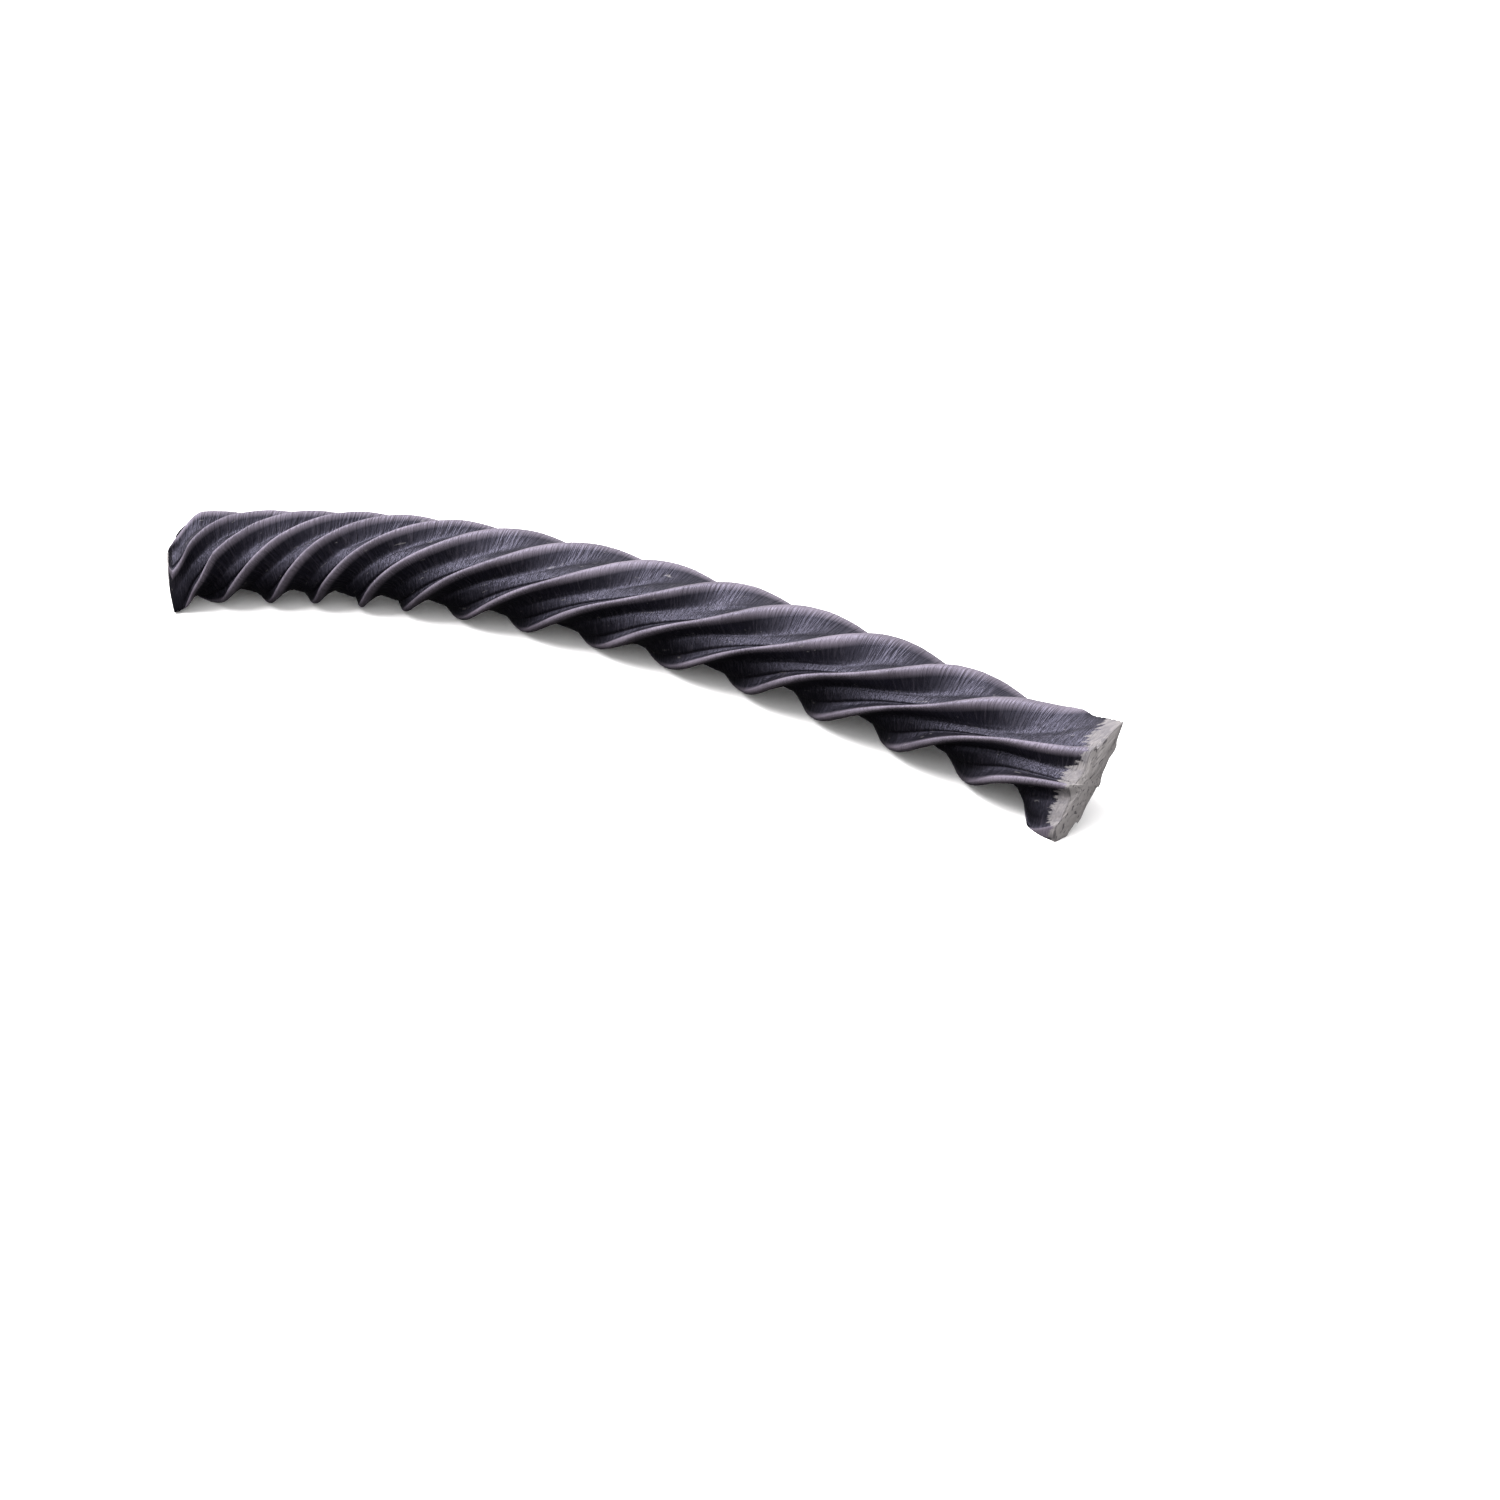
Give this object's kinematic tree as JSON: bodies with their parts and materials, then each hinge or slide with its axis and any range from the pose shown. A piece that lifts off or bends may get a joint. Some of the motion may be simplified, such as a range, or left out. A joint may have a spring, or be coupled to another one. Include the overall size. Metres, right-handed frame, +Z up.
{
  "type": "licorice twist",
  "caption": "Black licorice twist: a soft, gently bent bar with thin fins twisted left-handed round it, pinched and cut off square at both ends.",
  "frame": {"origin": "on the ground under the middle of the twist's box", "axes": "+X along the twist towards its cut right end, +Y to the back, away from the side that the picture shows, +Z up"},
  "size_m": [0.154, 0.0836, 0.0164],
  "materials": {
    "licorice": "satin black candy with a cool grey sheen; the cut face is matte and pale grey"
  },
  "bodies": {
    "root": {"twist": "licorice"}
  },
  "joints": []
}
